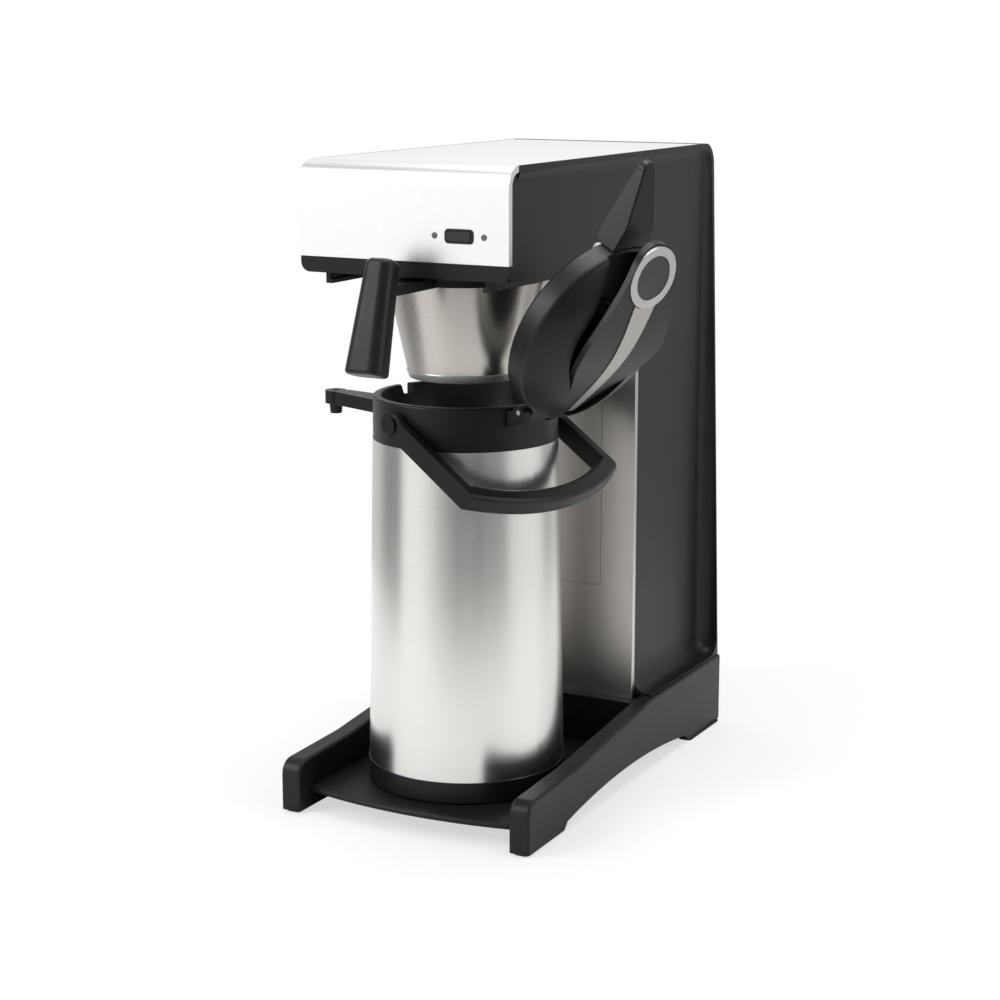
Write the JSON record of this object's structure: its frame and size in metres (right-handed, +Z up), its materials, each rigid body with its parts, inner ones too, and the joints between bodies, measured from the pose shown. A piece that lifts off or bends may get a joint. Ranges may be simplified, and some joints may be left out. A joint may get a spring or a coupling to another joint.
{
  "type": "coffee brewer",
  "caption": "Filter coffee brewer with a slide-out steel filter basket over a steel pump jug with a hinged lid, standing between two base rails.",
  "frame": {"origin": "on the floor under the middle of the base, halfway between the rails and halfway along them", "axes": "+Z up, -Y the front that the basket and the jug come out of, +X to the right seen from the front"},
  "size_m": [0.3688, 0.4631, 0.5517],
  "materials": {
    "housing_black": "fine moulded grain, satin",
    "rubber_black": "matt",
    "panel_steel": "fine vertical brush, bright",
    "inner_steel": "plain mill finish",
    "tank_plastic": "natural moulded",
    "brass": "turned",
    "thermostat_black": "moulded",
    "switch_grey": "satin",
    "lamp_lens": "clear grey lens",
    "board_green": "lacquered",
    "screw_steel": "plated",
    "basket_black": "satin",
    "funnel_steel": "spun",
    "ring_silver": "satin",
    "jug_steel": "brushed round the body",
    "jug_black": "satin",
    "strip_steel": "fine brush",
    "badge_silver": "satin chrome",
    "badge_grey": "smooth",
    "pale_silicone": "matt"
  },
  "bodies": {
    "brewer": {"base_frame": "housing_black", "foot_pads": "rubber_black", "tray_plate": "housing_black", "head_cover": "panel_steel", "head_floor": "housing_black", "column_front": "panel_steel", "access_panel": "panel_steel", "side_panel_right": "housing_black", "side_panel_left": "housing_black", "rear_cover": "housing_black", "chassis": "inner_steel", "water_tank": "tank_plastic", "tank_lid": "tank_plastic", "heater_element": "inner_steel", "thermostat": "thermostat_black", "riser_tube": "inner_steel", "spray_head": "inner_steel", "fill_valve": "tank_plastic", "water_inlet": "brass", "cable_gland": "housing_black", "switch_bezel": "switch_grey", "switch_body": "tank_plastic", "lamp_lenses": "lamp_lens", "lamp_holders": "tank_plastic", "control_board": "board_green", "basket_runners": "housing_black", "rear_screws": "screw_steel"},
    "button": {"switch_button": "switch_grey"},
    "basket": {"basket_rim": "basket_black", "basket_funnel": "funnel_steel", "funnel_ring": "ring_silver", "basket_outlet": "basket_black", "filter_screen": "inner_steel", "basket_handle": "basket_black"},
    "jug": {"jug_base": "jug_black", "jug_shell": "jug_steel", "jug_liner": "inner_steel", "jug_collar": "jug_black", "spout": "jug_black", "dip_tube": "inner_steel", "tube_clip": "jug_black", "bail_caps": "jug_black", "hinge_pin": "inner_steel"},
    "bail": {"bail": "jug_black"},
    "lid": {"lid_base": "jug_black", "lid_gasket": "rubber_black", "lid_plug": "jug_black", "lid_cover": "jug_black", "lid_beak": "jug_black", "delivery_tube": "pale_silicone", "tube_coupling": "pale_silicone", "pump_sleeve": "tank_plastic", "lever_pin": "inner_steel"},
    "lever": {"pump_lever": "jug_black", "lever_strip": "strip_steel", "badge_ring": "badge_silver", "badge_disc": "badge_grey"},
    "plunger": {"pump_plunger": "tank_plastic"}
  },
  "joints": [
    {"name": "jug_slide", "type": "slide", "parent": "brewer", "child": "jug", "axis": [0, -1, 0], "range_m": [0, 0.3]},
    {"name": "basket_slide", "type": "slide", "parent": "brewer", "child": "basket", "axis": [0, -1, 0], "range_m": [0, 0.18]},
    {"name": "button_press", "type": "slide", "parent": "brewer", "child": "button", "axis": [0, 1, 0], "range_m": [0, 0.0015], "stiffness_N_per_m": 400, "springref_m": -0.001},
    {"name": "bail_hinge", "type": "hinge", "parent": "jug", "child": "bail", "pos_m": [0, -0.0917, 0.335], "axis": [-0.2756, -0.9613, 0], "range_deg": [0, 24]},
    {"name": "lid_hinge", "type": "hinge", "parent": "jug", "child": "lid", "pos_m": [0.08267, -0.1154, 0.348], "axis": [-0.2756, -0.9613, 0], "range_deg": [0, 9]},
    {"name": "lever_hinge", "type": "hinge", "parent": "lid", "child": "lever", "pos_m": [0.10612, -0.12213, 0.35768], "axis": [-0.2756, -0.9613, 0], "range_deg": [0, 5], "stiffness_Nm_per_rad": 6, "springref_deg": -4.58},
    {"name": "plunger_slide", "type": "slide", "parent": "lid", "child": "plunger", "axis": [-0.8487, 0.2434, 0.4695], "range_m": [0, 0.0066]}
  ],
  "couplings": [
    {"joint": "plunger_slide", "follows": "lever_hinge", "m_per_rad": 0.072}
  ]
}
